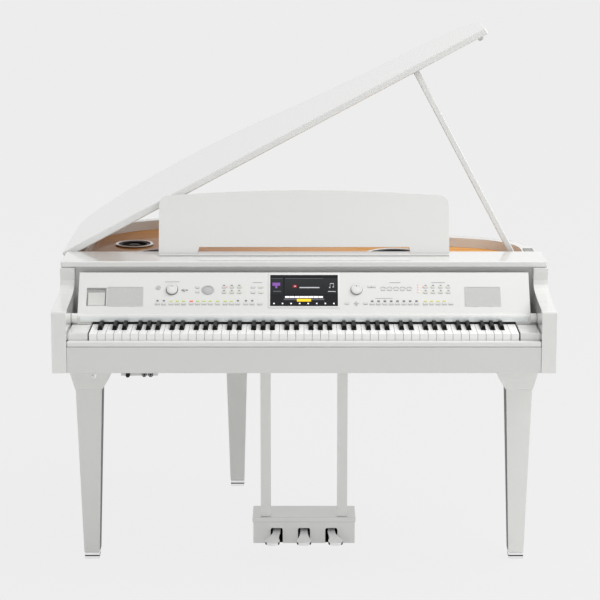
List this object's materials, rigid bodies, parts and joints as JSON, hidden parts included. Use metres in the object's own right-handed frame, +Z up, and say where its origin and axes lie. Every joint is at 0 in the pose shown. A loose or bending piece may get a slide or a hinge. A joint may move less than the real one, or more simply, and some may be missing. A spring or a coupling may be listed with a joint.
{
  "type": "digital grand piano",
  "caption": "White digital grand piano with its lid propped open, control panel with screen, music desk, tapered legs and pedals.",
  "frame": {"origin": "on the floor, under the middle of the box round the open piano", "axes": "+Z up, -Y towards the player, +X towards the treble end"},
  "size_m": [1.4414, 1.237, 1.6025],
  "materials": {
    "lacquer": "white polished lacquer",
    "white_keys": "white key tops",
    "black_keys": "satin black",
    "chrome": "polished",
    "steel": "plain",
    "spruce": "stained, satin",
    "grey_plastic": "fine texture",
    "dark_plastic": "satin black",
    "screen_glass": "dark glass",
    "circuit_board": "coated board"
  },
  "bodies": {
    "case": {"arm_left": "lacquer", "arm_right": "lacquer", "rim": "lacquer", "case_bottom": "lacquer", "front_rail": "lacquer", "key_slip": "lacquer", "fascia_board": "lacquer", "top_board": "lacquer", "soundboard": "spruce", "speaker_tail": "dark_plastic", "speaker_left": "dark_plastic", "speaker_right": "dark_plastic", "lid_hinge_1": "chrome", "lid_hinge_2": "chrome", "prop_bracket": "grey_plastic", "key_frame": "steel", "key_block_left": "lacquer", "key_block_right": "lacquer", "leg_front_left": "lacquer", "leg_front_right": "lacquer", "leg_rear": "lacquer", "foot_front_left": "chrome", "foot_front_right": "chrome", "foot_rear": "chrome", "pedal_post_left": "lacquer", "pedal_post_right": "lacquer", "pedal_plate": "lacquer", "pedal_box": "lacquer", "pedal_shaft": "steel", "jack_box": "grey_plastic", "headphone_hook": "steel", "sound_circuit": "circuit_board"},
    "lid_body": {"lid": "lacquer"},
    "prop_body": {"lid_prop": "lacquer"},
    "desk_body": {"music_desk": "lacquer"},
    "strut_left_body": {"desk_strut_left": "steel"},
    "strut_right_body": {"desk_strut_right": "steel"},
    "cover_body": {"key_cover": "lacquer", "touch_screen": "screen_glass", "grille_left": "grey_plastic", "grille_right": "grey_plastic"},
    "volume_body": {"volume_knob": "chrome"},
    "dial_body": {"data_dial": "chrome"},
    "power_body": {"power_button": "grey_plastic"},
    "input_knob_body": {"input_knob": "dark_plastic"},
    "pedal_left_body": {"pedal_left": "chrome"},
    "pedal_middle_body": {"pedal_middle": "chrome"},
    "pedal_right_body": {"pedal_right": "chrome"},
    "whites_bass": {"white_keys_bass": "white_keys"},
    "whites_treble": {"white_keys_treble": "white_keys"},
    "blacks_bass": {"black_keys_bass": "black_keys"},
    "blacks_treble": {"black_keys_treble": "black_keys"},
    "white_1": {"white_key_1": "white_keys"},
    "white_2": {"white_key_2": "white_keys"},
    "white_3": {"white_key_3": "white_keys"},
    "white_4": {"white_key_4": "white_keys"},
    "white_5": {"white_key_5": "white_keys"},
    "black_1": {"black_key_1": "black_keys"},
    "black_2": {"black_key_2": "black_keys"},
    "black_3": {"black_key_3": "black_keys"}
  },
  "joints": [
    {"name": "lid_hinge", "type": "hinge", "parent": "case", "child": "lid_body", "pos_m": [-0.70828, -0.0985, 0.912], "axis": [0, -1, 0], "range_deg": [0, 30]},
    {"name": "prop_hinge", "type": "hinge", "parent": "case", "child": "prop_body", "pos_m": [0.64622, -0.1505, 0.9], "axis": [0, -1, 0], "range_deg": [0, 61.8]},
    {"name": "desk_hinge", "type": "hinge", "parent": "case", "child": "desk_body", "pos_m": [0.00622, -0.2365, 0.9334], "axis": [1, 0, 0], "range_deg": [0, 14]},
    {"name": "strut_left_hinge", "type": "hinge", "parent": "case", "child": "strut_left_body", "pos_m": [-0.37178, -0.2077, 0.9353], "axis": [-1, 0, 0], "range_deg": [0, 87]},
    {"name": "strut_right_hinge", "type": "hinge", "parent": "case", "child": "strut_right_body", "pos_m": [0.38422, -0.2077, 0.9353], "axis": [-1, 0, 0], "range_deg": [0, 87]},
    {"name": "cover_hinge", "type": "hinge", "parent": "case", "child": "cover_body", "pos_m": [0.00622, -0.4665, 0.7875], "axis": [1, 0, 0], "range_deg": [0, 127.7]},
    {"name": "volume_turn", "type": "hinge", "parent": "cover_body", "child": "volume_body", "pos_m": [-0.37878, -0.40372, 0.85853], "axis": [0, -0.7912, 0.6115], "range_deg": [-135, 135]},
    {"name": "dial_turn", "type": "hinge", "parent": "cover_body", "child": "dial_body", "pos_m": [0.15962, -0.40372, 0.85853], "axis": [0, -0.7912, 0.6115], "continuous": true},
    {"name": "power_press", "type": "slide", "parent": "cover_body", "child": "power_body", "axis": [0, 0.7912, -0.6115], "range_m": [0, 0.001], "stiffness_N_per_m": 800, "springref_m": -0.0005},
    {"name": "input_turn", "type": "hinge", "parent": "case", "child": "input_knob_body", "pos_m": [-0.49778, -0.5585, 0.6422], "axis": [0, -1, 0], "range_deg": [-135, 135]},
    {"name": "pedal_left_hinge", "type": "hinge", "parent": "case", "child": "pedal_left_body", "pos_m": [-0.07628, -0.2135, 0.102], "axis": [1, 0, 0], "range_deg": [0, 5], "stiffness_Nm_per_rad": 30, "springref_deg": -2.29},
    {"name": "pedal_middle_hinge", "type": "hinge", "parent": "case", "child": "pedal_middle_body", "pos_m": [0.00622, -0.2135, 0.102], "axis": [1, 0, 0], "range_deg": [0, 5], "stiffness_Nm_per_rad": 30, "springref_deg": -2.29},
    {"name": "pedal_right_hinge", "type": "hinge", "parent": "case", "child": "pedal_right_body", "pos_m": [0.08872, -0.2135, 0.102], "axis": [1, 0, 0], "range_deg": [0, 5], "stiffness_Nm_per_rad": 30, "springref_deg": -2.29},
    {"name": "whites_bass_hinge", "type": "hinge", "parent": "case", "child": "whites_bass", "pos_m": [-0.33453, -0.3635, 0.7457], "axis": [1, 0, 0], "range_deg": [0, 2.46], "stiffness_Nm_per_rad": 140, "springref_deg": -3.44},
    {"name": "whites_treble_hinge", "type": "hinge", "parent": "case", "child": "whites_treble", "pos_m": [0.33522, -0.3635, 0.7457], "axis": [1, 0, 0], "range_deg": [0, 2.46], "stiffness_Nm_per_rad": 140, "springref_deg": -3.44},
    {"name": "blacks_bass_hinge", "type": "hinge", "parent": "case", "child": "blacks_bass", "pos_m": [-0.33453, -0.3635, 0.7457], "axis": [1, 0, 0], "range_deg": [0, 2.46], "stiffness_Nm_per_rad": 70, "springref_deg": -3.44},
    {"name": "blacks_treble_hinge", "type": "hinge", "parent": "case", "child": "blacks_treble", "pos_m": [0.33522, -0.3635, 0.7457], "axis": [1, 0, 0], "range_deg": [0, 2.46], "stiffness_Nm_per_rad": 70, "springref_deg": -3.44},
    {"name": "white_1_hinge", "type": "hinge", "parent": "case", "child": "white_1", "pos_m": [-0.05253, -0.3635, 0.7457], "axis": [1, 0, 0], "range_deg": [0, 2.46], "stiffness_Nm_per_rad": 7, "springref_deg": -3.44},
    {"name": "white_2_hinge", "type": "hinge", "parent": "case", "child": "white_2", "pos_m": [-0.02903, -0.3635, 0.7457], "axis": [1, 0, 0], "range_deg": [0, 2.46], "stiffness_Nm_per_rad": 7, "springref_deg": -3.44},
    {"name": "white_3_hinge", "type": "hinge", "parent": "case", "child": "white_3", "pos_m": [-0.00553, -0.3635, 0.7457], "axis": [1, 0, 0], "range_deg": [0, 2.46], "stiffness_Nm_per_rad": 7, "springref_deg": -3.44},
    {"name": "white_4_hinge", "type": "hinge", "parent": "case", "child": "white_4", "pos_m": [0.01797, -0.3635, 0.7457], "axis": [1, 0, 0], "range_deg": [0, 2.46], "stiffness_Nm_per_rad": 7, "springref_deg": -3.44},
    {"name": "white_5_hinge", "type": "hinge", "parent": "case", "child": "white_5", "pos_m": [0.04147, -0.3635, 0.7457], "axis": [1, 0, 0], "range_deg": [0, 2.46], "stiffness_Nm_per_rad": 7, "springref_deg": -3.44},
    {"name": "black_1_hinge", "type": "hinge", "parent": "case", "child": "black_1", "pos_m": [-0.04078, -0.3635, 0.7457], "axis": [1, 0, 0], "range_deg": [0, 2.46], "stiffness_Nm_per_rad": 4, "springref_deg": -3.44},
    {"name": "black_2_hinge", "type": "hinge", "parent": "case", "child": "black_2", "pos_m": [-0.01728, -0.3635, 0.7457], "axis": [1, 0, 0], "range_deg": [0, 2.46], "stiffness_Nm_per_rad": 4, "springref_deg": -3.44},
    {"name": "black_3_hinge", "type": "hinge", "parent": "case", "child": "black_3", "pos_m": [0.02972, -0.3635, 0.7457], "axis": [1, 0, 0], "range_deg": [0, 2.46], "stiffness_Nm_per_rad": 4, "springref_deg": -3.44}
  ]
}
